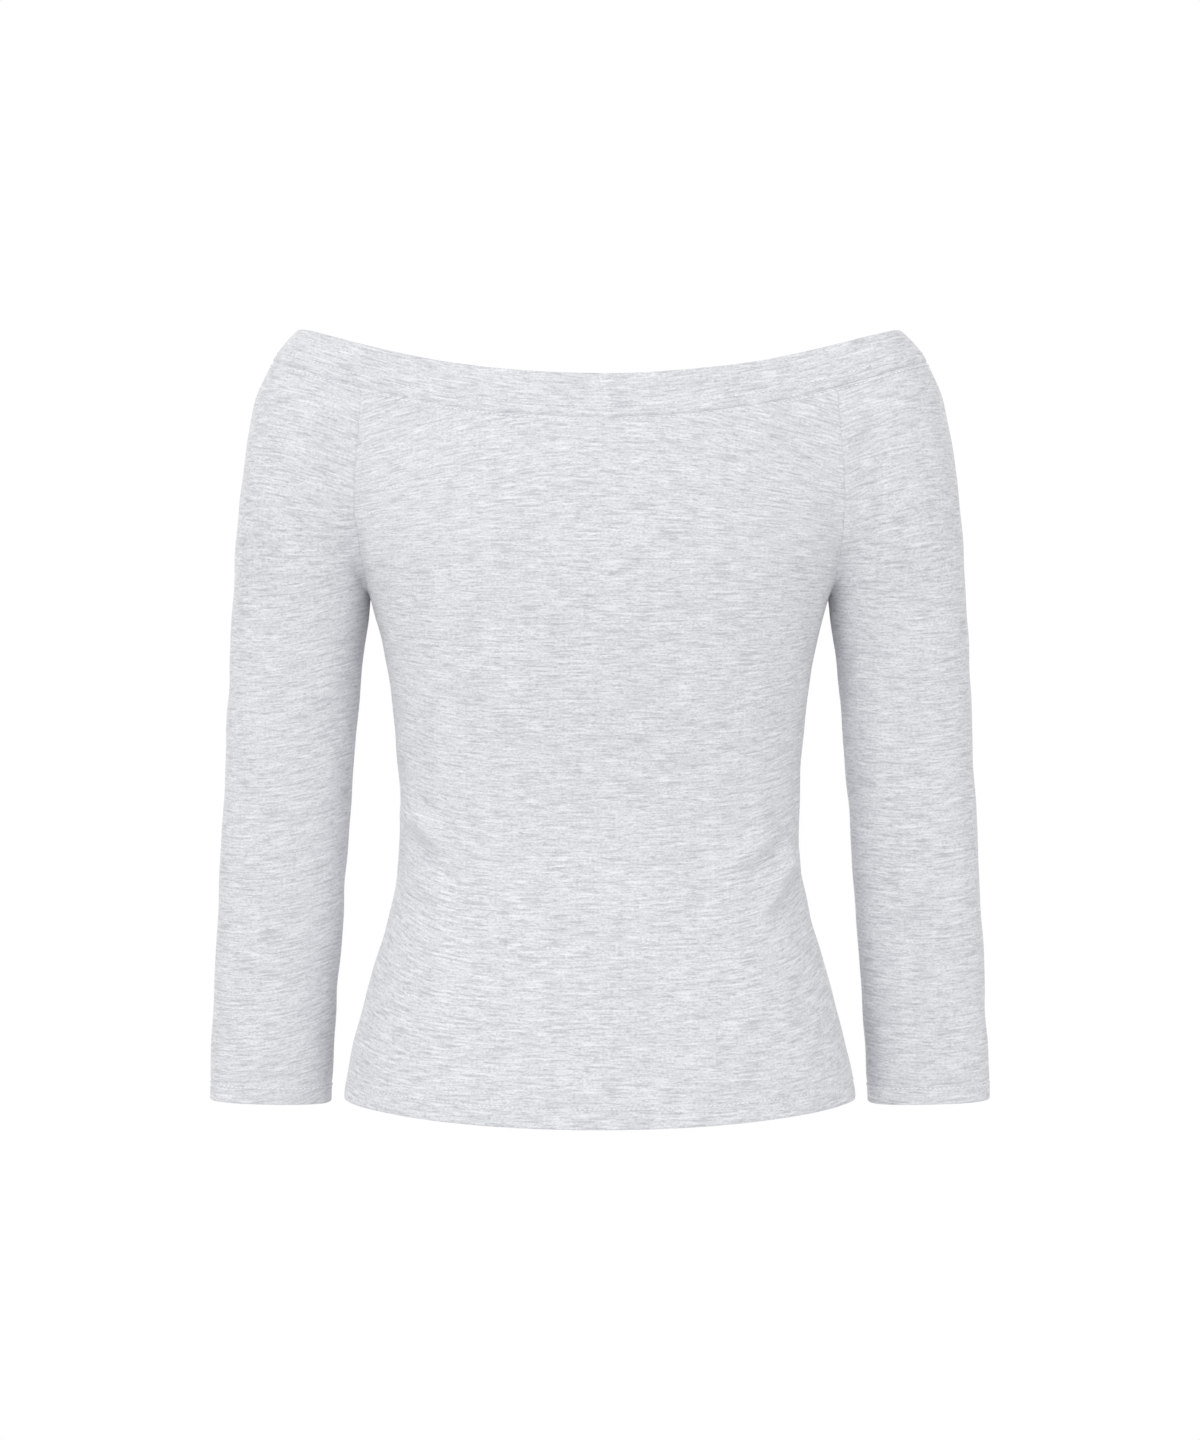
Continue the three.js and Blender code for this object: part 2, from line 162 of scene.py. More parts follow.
# Drag creases. Each runs from one point to another, bowed sideways in its middle, and fades at its ends.
# Heights are above the smooth cloth, so troughs are negative. Side is -1 on the back and 1 on the front.
CREASES = table(
    "side x z to_x to_z bow height width",
    # Left of the waist at the back
    (-1, -123, -294, -94, -322, 1, 4.8, 6),
    (-1, -121, -312, -80, -348, -2, -3.0, 5.5),
    (-1, -122, -328, -90, -357, 0, 2.8, 6),
    (-1, -116, -360, -84, -381, 0, -1.3, 6),
    (-1, -88, -338, -24, -382, -3, 1.8, 10),
    # Right of the waist at the back
    (-1, 115, -310, 74, -337, -2, 2.8, 5.5),
    (-1, 119, -313, 88, -345, -1, -2.4, 4.5),
    (-1, 121, -319, 95, -364, 2, 5.2, 5.5),
    (-1, 123, -332, 104, -368, 2, -1.8, 5),
    # Soft drag across the small of the back
    (-1, 84, -336, -36, -380, 4, 1.6, 11),
    (-1, -24, -352, 44, -349, 0, -0.5, 11),
    # Front of the waist
    (1, 122, -296, 80, -326, 3, -1.9, 5.5),
    (1, 124, -318, 92, -350, 0, 1.6, 5.5),
    (1, 120, -344, 84, -366, -3, -1.4, 5.5),
    (1, -122, -304, -84, -338, -3, -2.0, 5.5),
    (1, -124, -326, -96, -360, 0, 1.7, 5.5),
    (1, 10, -374, 66, -362, -2, -0.9, 10),
    # Armholes
    (-1, 164, -54, 164, -126, -2, -4.4, 7),
    (-1, 167, -104, 149, -160, 3, -3.0, 6),
    (-1, 147, -118, 176, -148, 0, -0.7, 4.5),
    (-1, -151, -112, -145, -168, 0, -1.6, 4),
    (-1, -166, -72, -164, -120, 2, -1.3, 9),
    (-1, -146, -124, -170, -150, 0, -0.9, 5),
    (1, 164, -78, 159, -124, 2, -1.6, 9),
    (1, 148, -122, 170, -148, 0, -0.9, 5),
    (1, -165, -72, -161, -118, -2, -1.6, 9),
    (1, -148, -126, -168, -150, 0, -0.9, 5),
    # Elbows
    (-1, 178, -274, 214, -281, -2, -0.9, 7),
    (-1, 176, -292, 206, -299, 0, -0.6, 7),
    (-1, -170, -258, -206, -273, 2, -0.8, 7),
    (-1, -176, -280, -208, -290, 0, -0.6, 7),
    (1, 174, -262, 216, -274, 3, -1.5, 7),
    (1, 178, -284, 214, -292, 0, -1.1, 7),
    (1, -174, -272, -216, -268, 3, -1.4, 7),
    (1, -178, -294, -212, -288, 0, -1.0, 7),
)
CREASE_ENDS = 0.3
CREASE_FADE = 14

# How finely the cloth is divided, in millimetres. Edges get closer rows and columns for their rounding.
GRID = 2.4
EDGE_STEPS = np.array([0, 0.5, 1.1, 1.9])
FOLD_STEPS = np.array([0, 0.08, 0.3, 0.65, 1.2, 2.1])
TURN_UP_STEPS = np.array([-1, -0.4, 0, 0.5, 1.2]) + TURN_UP
FIRST_YOKE_SHARE = 0.012
YOKE_CROWDING = 1.3
EDGE_HOLD = 6
EDGE_HOLD_LIMIT = 0.8
FINE_SAMPLES = 110

# Numbers for walking out to a surface and measuring its slope
MARCH = 3
HALVINGS = 13
SETTLES = 4
SLOPE_STEP = 0.4
EDGE_PROBE = 0.35
NEXT_TO_NOTHING = 1e-6

# The finish of seams and folds, in millimetres
SIDE_GROOVE_DEPTH = 0.35
NECK_GROOVE_DEPTH = 0.5
GROOVE_WIDTH = 0.7
BAND_RISE = 0.45
BAND_GROOVE_WIDTH = 0.8
ALLOWANCE_DEPTH = 1.3
ALLOWANCE_WIDTH = 1.6
FOLD_SHARE = 0.92
TURN_UP_EASE = 0.4
TURN_UP_FADE = 0.9
SHARP_ANGLE = math.radians(55)
HEM_STITCH_SINK = 0.3
HEM_STITCH_WIDTH = 1.3
STITCH_ROW_BELOW_SEAM = 2.0
STITCH_ROW_ABOVE_SEAM = 6.6
HEM_ROW = 12
CUFF_ROW = 10.5
STITCH_SIDES = 6
STITCH_RINGS = 4
STITCH_SEED = 5
STITCH_LEAST = (0.8, 0.85, 0.8)
STITCH_MOST = (1.1, 1.15, 1.1)
STITCH_RAISE = 0.45


def mix(a, b, t):
    return a + (b - a) * t


def smooth(t):
    held = np.clip(t, 0, 1)
    return held * held * (3 - 2 * held)


def bell(distance, width):
    return np.exp(-((distance / width) ** 2))


# The worn form


def row_at(rows, z):
    """A smooth curve down each column of a table whose rows run from the top down."""
    heights = rows["z"]
    place = np.clip(np.searchsorted(-heights, -z) - 1, 0, len(heights) - 2)
    span = heights[place + 1] - heights[place]
    t = (z - heights[place]) / span
    before = np.maximum(np.arange(len(heights)) - 1, 0)
    after = np.minimum(np.arange(len(heights)) + 1, len(heights) - 1)
    found = {}
    for column, values in rows.items():
        slopes = (values[after] - values[before]) / (heights[after] - heights[before])
        leave = slopes[place] * span
        arrive = slopes[place + 1] * span
        rise = values[place + 1] - values[place]
        found[column] = values[place] + t * (
            leave + t * (3 * rise - 2 * leave - arrive) + t * t * (leave + arrive - 2 * rise)
        )
    return SimpleNamespace(**found)


def section_at(z):
    z = np.asarray(z, float)
    arm = row_at(ARM, z)
    arm.x = arm.outer - arm.half
    return SimpleNamespace(
        z=z, torso=row_at(TORSO, z), arm=arm, armhole=row_at(ARMHOLE, np.maximum(z, UNDERARM_Z))
    )


def beyond(x, y, half, depth, roundness):
    """How far a point lies outside a rounded section, negative inside."""
    reach = (np.abs(x / half) ** roundness + np.abs(y / depth) ** roundness) ** (1 / roundness)
    reach = np.maximum(reach, NEXT_TO_NOTHING)
    return (reach - 1) * np.hypot(x, y) / reach


def beyond_torso(x, y, section):
    torso = section.torso
    return beyond(x, y, torso.half, np.where(y < 0, torso.back, torso.front), TORSO_ROUNDNESS)


def beyond_arm(x, y, section):
    arm = section.arm
    return beyond(np.abs(x) - arm.x, y - arm.y, arm.half, arm.depth, ARM_ROUNDNESS)


def beyond_both(x, y, section):
    """Body and arms in one form, with a soft valley between them."""
    torso = beyond_torso(x, y, section)
    arm = beyond_arm(x, y, section)
    blend = section.armhole.blend
    shared = np.maximum(blend - np.abs(torso - arm), 0) / blend
    return np.minimum(torso, arm) - shared * shared * blend / 4


def beyond_yoke_panel(x, y, section):
    return np.where(np.abs(x) > section.armhole.seam, 1, beyond_both(x, y, section))


def beyond_sleeve_head(x, y, section):
    return np.where(x < section.armhole.seam, 1, beyond_both(x, y, section))


def cast(form, start_x, start_y, angle, section):
    """Walks out from a point inside the form to its surface."""
    step_x = np.cos(angle)
    step_y = np.sin(angle)

    def outside(way):
        return form(start_x + step_x * way, start_y + step_y * way, section) > 0

    near = np.zeros(np.broadcast(start_x, angle, section.z).shape)
    walking = ~outside(near + MARCH)
    while walking.any():
        near = near + MARCH * walking
        walking &= ~outside(near + MARCH)
    far = near + MARCH
    for _ in range(HALVINGS):
        middle = (near + far) / 2
        out = outside(middle)
        far = np.where(out, middle, far)
        near = np.where(out, near, middle)
    return start_x + step_x * near, start_y + step_y * near


def neck_height(line, x, y):
    """The height of a line round the neck, lowest at the middle of the back and of the front."""
    middle = mix(line.back, line.front, smooth((y + NECK_TURN) / (2 * NECK_TURN)))
    return mix(middle, line.side, (x / line.reach) ** 2)


def hem_height(x, _):
    return HEM_SIDE_Z - HEM_DIP * np.maximum(0, 1 - (x / HEM_HALF) ** 2)


def cuff_height(x, y):
    arm = row_at(ARM, np.array(float(CUFF_Z)))
    return CUFF_Z + CUFF_TILT * (y - arm.y) + CUFF_SLANT * (x - arm.outer + arm.half)


def sewn_height(bottom, level, x, y):
    """Levels 0 to 1 climb from the hem or cuff to the underarm, and 1 to 2 on to the neck seam."""
    top = neck_height(NECK_SEAM, x, y) - SEAM_GAP / 2
    return np.where(
        level <= 1, mix(bottom(x, y), UNDERARM_Z, level), mix(UNDERARM_Z, top, level - 1)
    )


def settle(height_at, place, guess):
    """The place where a level meets a line, found by settling the height and the reach in turn."""
    z = guess
    x, y = place(section_at(z))
    for _ in range(SETTLES):
        z = height_at(x, y)
        x, y = place(section_at(z))
    return np.stack(np.broadcast_arrays(x, y, z), axis=-1)


# The cut pieces


def panel_cut(name, facing):
    """A body panel. Facing is -1 on the back and 1 on the front."""
    seam_y = SIDE_SEAM_Y + facing * SEAM_GAP / 2

    def side_edge(section):
        return cast(beyond_torso, 0 * section.z, seam_y, 0.0, section)

    def armhole_edge(section):
        seam = section.armhole.seam - SEAM_GAP / 2
        return cast(beyond_both, seam, SIDE_SEAM_Y, facing * math.pi / 2, section)

    def edge(levels, way):
        height = lambda x, y: sewn_height(hem_height, levels, x, y)
        guess = np.full(levels.shape, float(UNDERARM_Z))
        place = side_edge if levels[0, 0] <= 1 else armhole_edge
        found = settle(height, place, guess)
        return found * [-facing * way, 1, 1]

    return SimpleNamespace(
        name=name,
        bottom=hem_height,
        lower_form=beyond_torso,
        upper_form=beyond_yoke_panel,
        facing=facing * math.pi / 2,
        middle=lambda section: (0 * section.z, 0 * section.z),
        middle_y=lambda z: SIDE_SEAM_Y,
        edge=edge,
        mirrored=False,
        half_width=PANEL_SPREAD,
    )


def sleeve_cut(name, mirrored):
    def seam(section):
        arm = section.arm
        return cast(beyond_arm, arm.x, arm.y + SLEEVE_SEAM_OFFSET, math.pi, section)

    def armhole(facing):
        def place(section):
            start = section.armhole.seam + SEAM_GAP / 2
            return cast(beyond_both, start, SIDE_SEAM_Y, facing * math.pi / 2, section)

        return place

    def edge(levels, way):
        height = lambda x, y: sewn_height(cuff_height, levels, x, y)
        guess = np.full(levels.shape, float(UNDERARM_Z))
        return settle(height, seam if levels[0, 0] <= 1 else armhole(way), guess)

    return SimpleNamespace(
        name=name,
        bottom=cuff_height,
        lower_form=beyond_arm,
        upper_form=beyond_sleeve_head,
        facing=0.0,
        middle=lambda section: (section.arm.x, section.arm.y),
        middle_y=lambda z: row_at(ARM, z).y,
        edge=edge,
        mirrored=mirrored,
        half_width=SLEEVE_SPREAD,
    )


def band_height(level, x, y):
    return mix(neck_height(NECK_SEAM, x, y) + SEAM_GAP / 2, neck_height(NECK_EDGE, x, y), level)


def band_cut(name):
    def edge(levels, way):
        height = lambda x, y: band_height(levels, x, y)
        place = lambda section: cast(beyond_both, 0 * section.z, 0.0, BAND_JOIN, section)
        return settle(height, place, np.full(levels.shape, float(NECK_SEAM.back)))

    return SimpleNamespace(
        name=name,
        bottom=None,
        lower_form=None,
        upper_form=beyond_both,
        facing=BAND_JOIN - math.pi,
        middle=lambda section: (0 * section.z, 0 * section.z),
        middle_y=lambda z: 0 * z,
        edge=edge,
        mirrored=False,
        half_width=BAND_SPREAD,
    )


def fine_half(cut, form, levels, way, height_at):
    """Half of each row, from the way that the piece faces round to one of its edges."""
    edge = cut.edge(levels, way)[:, 0]
    share = np.arange(FINE_SAMPLES) / FINE_SAMPLES

    def place(section):
        middle_x, middle_y = cut.middle(section)
        raw = np.arctan2(edge[:, 1:2] - middle_y, edge[:, 0:1] - middle_x) - cut.facing
        turn = np.arctan2(np.sin(raw), np.cos(raw))
        turn = np.where(np.sign(turn) == way, turn, turn + way * WHOLE_TURN)
        return cast(form, middle_x, middle_y, cut.facing + turn * share, section)

    guess = np.repeat(edge[:, 2:3], FINE_SAMPLES, axis=1)
    points = settle(height_at, place, guess)
    return np.concatenate([points, edge[:, None]], axis=1)


def lengths_along(points, axis):
    steps = np.linalg.norm(np.diff(points, axis=axis), axis=-1)
    start = np.zeros_like(np.take(steps, [0], axis=axis))
    return np.concatenate([start, np.cumsum(steps, axis=axis)], axis=axis)


def half_shares(half_width):
    """Columns from the middle of a piece to its edge, with the last few close together."""
    plain = half_width - EDGE_STEPS[-1] - GRID / 2
    even = np.linspace(0, plain, round(plain / GRID) + 1)
    return np.concatenate([even, half_width - EDGE_STEPS[::-1]]) / half_width


def spaced_half(fine, levels, shares):
    """Over the underarm a row gets shorter at its edge alone, so the columns keep their places."""
    lengths = lengths_along(fine, 1)
    length = lengths[:, -1]
    at_underarm = length[np.flatnonzero(levels[:, 0] <= 1)[-1]] if (levels <= 1).any() else 0
    full = np.where(levels[:, 0] > 1, at_underarm, length)
    lost = full - length
    hold = np.minimum(EDGE_HOLD, EDGE_HOLD_LIMIT * full / np.maximum(lost, NEXT_TO_NOTHING))
    wanted = full[:, None] * shares - lost[:, None] * shares ** hold[:, None]
    spaced = np.empty((*wanted.shape, 3))
    for r, row in enumerate(fine):
        for axis in range(3):
            spaced[r, :, axis] = np.interp(wanted[r], lengths[r], row[:, axis])
    return spaced


def rises_to(length):
    """Rows from a folded edge up, close together at the fold and where the turn-up ends."""
    low = np.arange(FOLD_STEPS[-1] + GRID / 2, TURN_UP_STEPS[0] - GRID / 2, GRID)
    rest = length - TURN_UP_STEPS[-1]
    high = TURN_UP_STEPS[-1] + np.linspace(0, rest, round(rest / GRID) + 1)[1:]
    return np.concatenate([FOLD_STEPS, low, TURN_UP_STEPS, high])


def yoke_levels():
    height = NECK_SEAM.back - UNDERARM_Z
    close = 1 - EDGE_STEPS[::-1] / height
    count = round((height - EDGE_STEPS[-1] - GRID / 2) / GRID)
    open_share = close[0] - GRID / 2 / height
    even = FIRST_YOKE_SHARE + (open_share - FIRST_YOKE_SHARE) * np.linspace(0, 1, count) ** YOKE_CROWDING
    return 1 + np.concatenate([even, close])


def outwards(form, points):
    """The way out of the cloth at each point, from how the form changes along each axis."""
    x, y, z = np.moveaxis(points, -1, 0)
    here = section_at(z)
    up = section_at(z + SLOPE_STEP)
    down = section_at(z - SLOPE_STEP)
    slopes = np.stack(
        [
            form(x + SLOPE_STEP, y, here) - form(x - SLOPE_STEP, y, here),
            form(x, y + SLOPE_STEP, here) - form(x, y - SLOPE_STEP, here),
            form(x, y, up) - form(x, y, down),
        ],
        axis=-1,
    )
    return slopes / np.linalg.norm(slopes, axis=-1, keepdims=True)


def rows_of(cut, levels):
    """The cloth's smooth surface at each row and column, and the way out of it."""
    shares = half_shares(cut.half_width)
    lower = levels[levels <= 1][:, None] if cut.lower_form else levels[:0, None]
    upper = levels[len(lower) :, None]
    halves = []
    for way in (-1, 1):
        fine = []
        if len(lower):
            height = lambda x, y: sewn_height(cut.bottom, lower, x, y)
            fine.append(fine_half(cut, cut.lower_form, lower, way, height))
            height = lambda x, y: sewn_height(cut.bottom, upper, x, y)
        else:
            height = lambda x, y: band_height(upper, x, y)
        fine.append(fine_half(cut, cut.upper_form, upper, way, height))
        spacing_levels = levels[:, None] if len(lower) else 0 * levels[:, None]
        halves.append(spaced_half(np.concatenate(fine), spacing_levels, shares))
    points = np.concatenate([halves[0][:, ::-1], halves[1][:, 1:]], axis=1)
    probes = points.copy()
    probes[:, 0] = mix(points[:, 0], points[:, 1], EDGE_PROBE)
    probes[:, -1] = mix(points[:, -1], points[:, -2], EDGE_PROBE)
    normals = [outwards(beyond_both, probes[len(lower) :])]
    if len(lower):
        normals.insert(0, outwards(cut.lower_form, probes[: len(lower)]))
    return points, np.concatenate(normals)


# Creases, ripples and the cloth's own unevenness


def crease_height(points, side, from_side):
    height = np.zeros(side.shape)
    x = points[..., 0]
    z = points[..., 2]
    for crease in zip(*CREASES.values()):
        named = SimpleNamespace(**dict(zip(CREASES, crease)))
        along_x = named.to_x - named.x
        along_z = named.to_z - named.z
        length = math.hypot(along_x, along_z)
        t = ((x - named.x) * along_x + (z - named.z) * along_z) / length**2
        across = ((z - named.z) * along_x - (x - named.x) * along_z) / length
        held = np.clip(t, 0, 1)
        ends = smooth(t / CREASE_ENDS) * smooth((1 - t) / CREASE_ENDS)
        shape = bell(across - named.bow * 4 * held * (1 - held), named.width)
        height += np.where(side == named.side, named.height * ends * shape, 0)
    return height * smooth(from_side / CREASE_FADE)


RIPPLE_SPREAD = 1.7


def ripple(along, wavelengths, phase):
    """An uneven wave between -1 and 1."""
    total = np.zeros(along.shape)
    for n, wavelength in enumerate(wavelengths):
        total = total + np.cos(WHOLE_TURN * along / wavelength + phase * (n + RIPPLE_SPREAD))
    return total / len(wavelengths)


SOFT_WAVES = table(
    "length turn lift phase size",
    (92, 0.3, 1.2, 0.4, 0.22),
    (71, 2.1, 0.5, 1.9, 0.2),
    (58, 1.2, 2.2, 3.1, 0.14),
    (44, 2.7, 1.4, 5.2, 0.1),
    (33, 0.8, 0.7, 2.4, 0.06),
)


SOFT_WAVE_CLIMB = 0.4


def soft_waves(points):
    """The slight unevenness of hanging jersey. It runs on over every seam."""
    total = np.zeros(points.shape[:-1])
    for length, turn, lift, phase, size in zip(*SOFT_WAVES.values()):
        way = np.array([math.cos(turn), math.sin(turn), math.sin(lift) + SOFT_WAVE_CLIMB])
        total = total + size * np.cos(WHOLE_TURN * (points @ way) / length + phase)
    return total


PUCKER_SIZE = 0.12
PUCKER_REACH = 5
PUCKER_WAVES = (7.3, 9.1, 12.7)


# Courses: how the knitted rows run over each piece, as a height that stays the same along one row

COURSE_BOW = table(
    "z bow droop",
    (0, 24, 0),
    (-50, 24, 0),
    (-93, 22, 0),
    (-143, 2, 0),
    (-150, 0, 0),
    (-220, 0, 12),
    (-300, 0, 20),
    (-380, 0, 22),
    (-440, 0, 14),
    (-492, 0, 9),
)
COURSE_BOW_REACH = 150
HEAD_COURSE_SLOPE = 0.36
HEAD_COURSE_FADE = (-175, -85)
HEAD_COURSE_LIMIT = 20
LEFT_SLEEVE_COURSES = (0.15, 0.14)
RIGHT_SLEEVE_COURSES = (-0.02, 0.1)


def panel_courses(points):
    x, _, z = np.moveaxis(points, -1, 0)
    bend = row_at(COURSE_BOW, z)
    half = row_at(TORSO, z).half
    return z + bend.bow * (x / COURSE_BOW_REACH) ** 2 - bend.droop * np.abs(x / half) ** 5


def sleeve_courses(slants):
    """The rows of a sleeve whose lower part slants, evenly and then more and more, towards the body."""

    def courses(points):
        x, _, z = np.moveaxis(points, -1, 0)
        arm = row_at(ARM, z)
        low, high = HEAD_COURSE_FADE
        head = smooth((z - low) / (high - low))
        reach = np.abs(x)
        inwards = (arm.outer - arm.half - reach) / arm.half
        sleeve = arm.half * (slants[0] * inwards + slants[1] * inwards**2)
        drop = HEAD_COURSE_SLOPE * (reach - COURSE_BOW_REACH)
        drop = HEAD_COURSE_LIMIT * np.tanh(drop / HEAD_COURSE_LIMIT)
        return z - head * drop - (1 - head) * sleeve

    return courses


# Cloth meshes


def cloth_piece(cut, levels, finish, courses):
    """The rows of a piece with their outer and inner faces, and its place on the cloth."""
    points, normals = rows_of(cut, levels)
    if cut.mirrored:
        flip = np.array([-1, 1, 1])
        points = (points * flip)[:, ::-1]
        normals = (normals * flip)[:, ::-1]
    across = lengths_along(points, 1)
    up = lengths_along(points, 0)
    place = SimpleNamespace(
        points=points,
        side_edge=np.minimum(across, across[:, -1:] - across),
        top_edge=up[-1:] - up,
        bottom_edge=up,
        along=across - across[:, -1:] / 2,
    )
    from_side = points[..., 1] - cut.middle_y(points[..., 2])
    side = np.where(from_side < 0, -1, 1)
    raised = crease_height(points, side, np.abs(from_side)) + soft_waves(points)
    lift, thickness = finish(place)
    outer = points + normals * (raised + lift)[..., None]
    inner = outer - normals * thickness[..., None]
    course = courses(points) if courses else place.bottom_edge
    cloth = np.stack([place.along, course], axis=-1) + CLOTH_PLACES[cut.name]
    return SimpleNamespace(
        name=cut.name, outer=outer, inner=inner, normals=normals, cloth=cloth, place=place
    )


def fold_offset(distance, radius):
    """How far a rounded fold draws in from the face, by the distance from its edge."""
    inside = np.clip(1 - distance / radius, 0, 1)
    return FOLD_SHARE * radius * (1 - np.sqrt(1 - inside**2))


def hemmed_finish(cloth):
    """Panels and sleeves: a turned-up fold below, and seams at the sides and the neck."""

    def finish(place):
        rise = place.bottom_edge
        seam = np.minimum(place.side_edge, place.top_edge)
        grooves = SIDE_GROOVE_DEPTH * bell(place.side_edge, GROOVE_WIDTH)
        grooves = np.maximum(grooves, NECK_GROOVE_DEPTH * bell(place.top_edge, GROOVE_WIDTH))
        folded = 1 - smooth((rise - TURN_UP + TURN_UP_EASE) / TURN_UP_FADE)
        round_off = fold_offset(rise, cloth)
        puckers = ripple(place.along, PUCKER_WAVES, 1.0) * np.exp(-place.top_edge / PUCKER_REACH)
        puckers += ripple(place.points[..., 2], PUCKER_WAVES, 2.0) * np.exp(-place.side_edge / PUCKER_REACH)
        puckers += ripple(place.along, PUCKER_WAVES, 3.0) * np.exp(-np.abs(rise - HEM_ROW) / PUCKER_REACH)
        lift = PUCKER_SIZE * puckers - round_off - grooves
        lift -= HEM_STITCH_SINK * bell(rise - HEM_ROW, HEM_STITCH_WIDTH)
        thickness = cloth * (1 + folded) - 2 * round_off
        thickness += ALLOWANCE_DEPTH * bell(seam, ALLOWANCE_WIDTH)
        return lift, thickness

    return finish


def band_finish(cloth):
    """The neckband: folded double at the top, sewn on below."""

    def finish(place):
        round_off = fold_offset(place.top_edge, cloth)
        puckers = ripple(place.along, PUCKER_WAVES, 4.0) * np.exp(-place.bottom_edge / PUCKER_REACH)
        groove = (NECK_GROOVE_DEPTH + BAND_RISE) * bell(place.bottom_edge, BAND_GROOVE_WIDTH)
        groove = np.maximum(groove, SIDE_GROOVE_DEPTH * bell(place.side_edge, GROOVE_WIDTH))
        lift = BAND_RISE + PUCKER_SIZE * puckers - round_off - groove
        thickness = 2 * cloth - 2 * round_off + ALLOWANCE_DEPTH * bell(place.bottom_edge, ALLOWANCE_WIDTH)
        return lift, thickness

    return finish


def wall_mesh(sheet, material):
    """Closes a sheet into a wall: outer face, inner face, and a strip along every edge."""
    rows, columns = sheet.outer.shape[:2]
    count = rows * columns
    number = np.arange(count).reshape(rows, columns)
    quads = np.stack(
        [number[:-1, :-1], number[:-1, 1:], number[1:, 1:], number[1:, :-1]], axis=-1
    ).reshape(-1, 4)
    rim = np.concatenate([number[0], number[1:, -1], number[-1, -2::-1], number[-2::-1, 0]])
    strip = np.stack([rim[1:], rim[:-1], rim[:-1] + count, rim[1:] + count], axis=-1)
    faces = np.concatenate([quads, quads[:, ::-1] + count, strip])
    places = np.concatenate([sheet.outer.reshape(-1, 3), sheet.inner.reshape(-1, 3)]) * MM
    mesh = bpy.data.meshes.new(sheet.name)
    mesh.vertices.add(len(places))
    mesh.vertices.foreach_set("co", places.ravel())
    mesh.loops.add(faces.size)
    mesh.loops.foreach_set("vertex_index", faces.ravel())
    mesh.polygons.add(len(faces))
    mesh.polygons.foreach_set("loop_start", np.arange(0, faces.size, 4))
    mesh.update(calc_edges=True)
    laid = np.tile(sheet.cloth.reshape(-1, 2), (2, 1)) * MM
    mesh.uv_layers.new(name="cloth").data.foreach_set("uv", laid[faces.ravel()].ravel())
    mesh.validate()
    mesh.polygons.foreach_set("use_smooth", np.ones(len(mesh.polygons), bool))
    mesh.set_sharp_from_angle(angle=SHARP_ANGLE)
    mesh.materials.append(material)
    piece = bpy.data.objects.new(sheet.name, mesh)
    bpy.context.scene.collection.objects.link(piece)
    return piece


# Materials


def linear(hex_colour):
    """An sRGB hex value as linear red, green, blue and alpha."""
    parts = [int(hex_colour[i : i + 2], 16) / 255 for i in (1, 3, 5)]
    return (*(c / 12.92 if c <= 0.04045 else ((c + 0.055) / 1.055) ** 2.4 for c in parts), 1.0)


def add_node(tree, kind, inputs=None, **settings):
    """Adds a node with its settings. Each input is given a value or a link."""
    made = tree.nodes.new(kind)
    for name, value in settings.items():
        setattr(made, name, value)
    for socket, value in (inputs or {}).items():
        if isinstance(value, bpy.types.NodeSocket):
            tree.links.new(value, made.inputs[socket])
        else:
            made.inputs[socket].default_value = value
    return made


# The fibre layers of melange, lowest first: the name of the colour, the length and thickness of its streaks
# in millimetres, where the pattern starts, its detail, and the noise values between which it fades in to
# its full strength
FIBRE_LAYERS = (
    ("cloud", 34, 9, (2, 5), 2.0, 0.28, 0.72, 0.6),
    ("dark_fibre", 17, 1.5, (3, 7), 2.0, 0.47, 0.75, 0.55),
    ("dark_fibre", 5, 0.9, (11, 2), 3.0, 0.52, 0.75, 0.75),
    ("dark_fibre", 1.6, 1.0, (23, 29), 1.0, 0.25, 0.75, 0.44),
    ("pale_fibre", 15, 1.5, (5, 19), 2.0, 0.48, 0.76, 0.45),
)
FIBRE_ROUGHNESS = 0.6
SLUB = (9, 0.9, (1, 1), 3.0)

# Knit loops are drawn about twice as coarse as in fine jersey, so that they show
LOOP_WIDTH = 1.2
LOOP_HEIGHT = 0.9
KNIT_SHARE = 0.35

# The relief of the loops, one sum a row: what it makes, how, and from what
KNIT_SUMS = (
    ("wale", "MULTIPLY", "across", 1 / (LOOP_WIDTH * MM)),
    ("course", "MULTIPLY", "up", 1 / (LOOP_HEIGHT * MM)),
    ("leg", "PINGPONG", "wale", 0.5),
    ("slant", "ADD", "course", "leg"),
    ("slant_turn", "MULTIPLY", "slant", WHOLE_TURN),
    ("loop", "SINE", "slant_turn"),
    ("leg_turn", "MULTIPLY", "leg", WHOLE_TURN),
    ("between", "SINE", "leg_turn"),
    ("loop_rise", "MULTIPLY_ADD", "loop", 0.5, 0.5),
    ("knit", "MULTIPLY", "loop_rise", "between"),
    ("knit_part", "MULTIPLY", "knit", KNIT_SHARE),
    ("relief", "ADD", "knit_part", "slub"),
)


def bare_material(name):
    material = bpy.data.materials.new(name)
    material.use_nodes = True
    material.node_tree.nodes.clear()
    return material


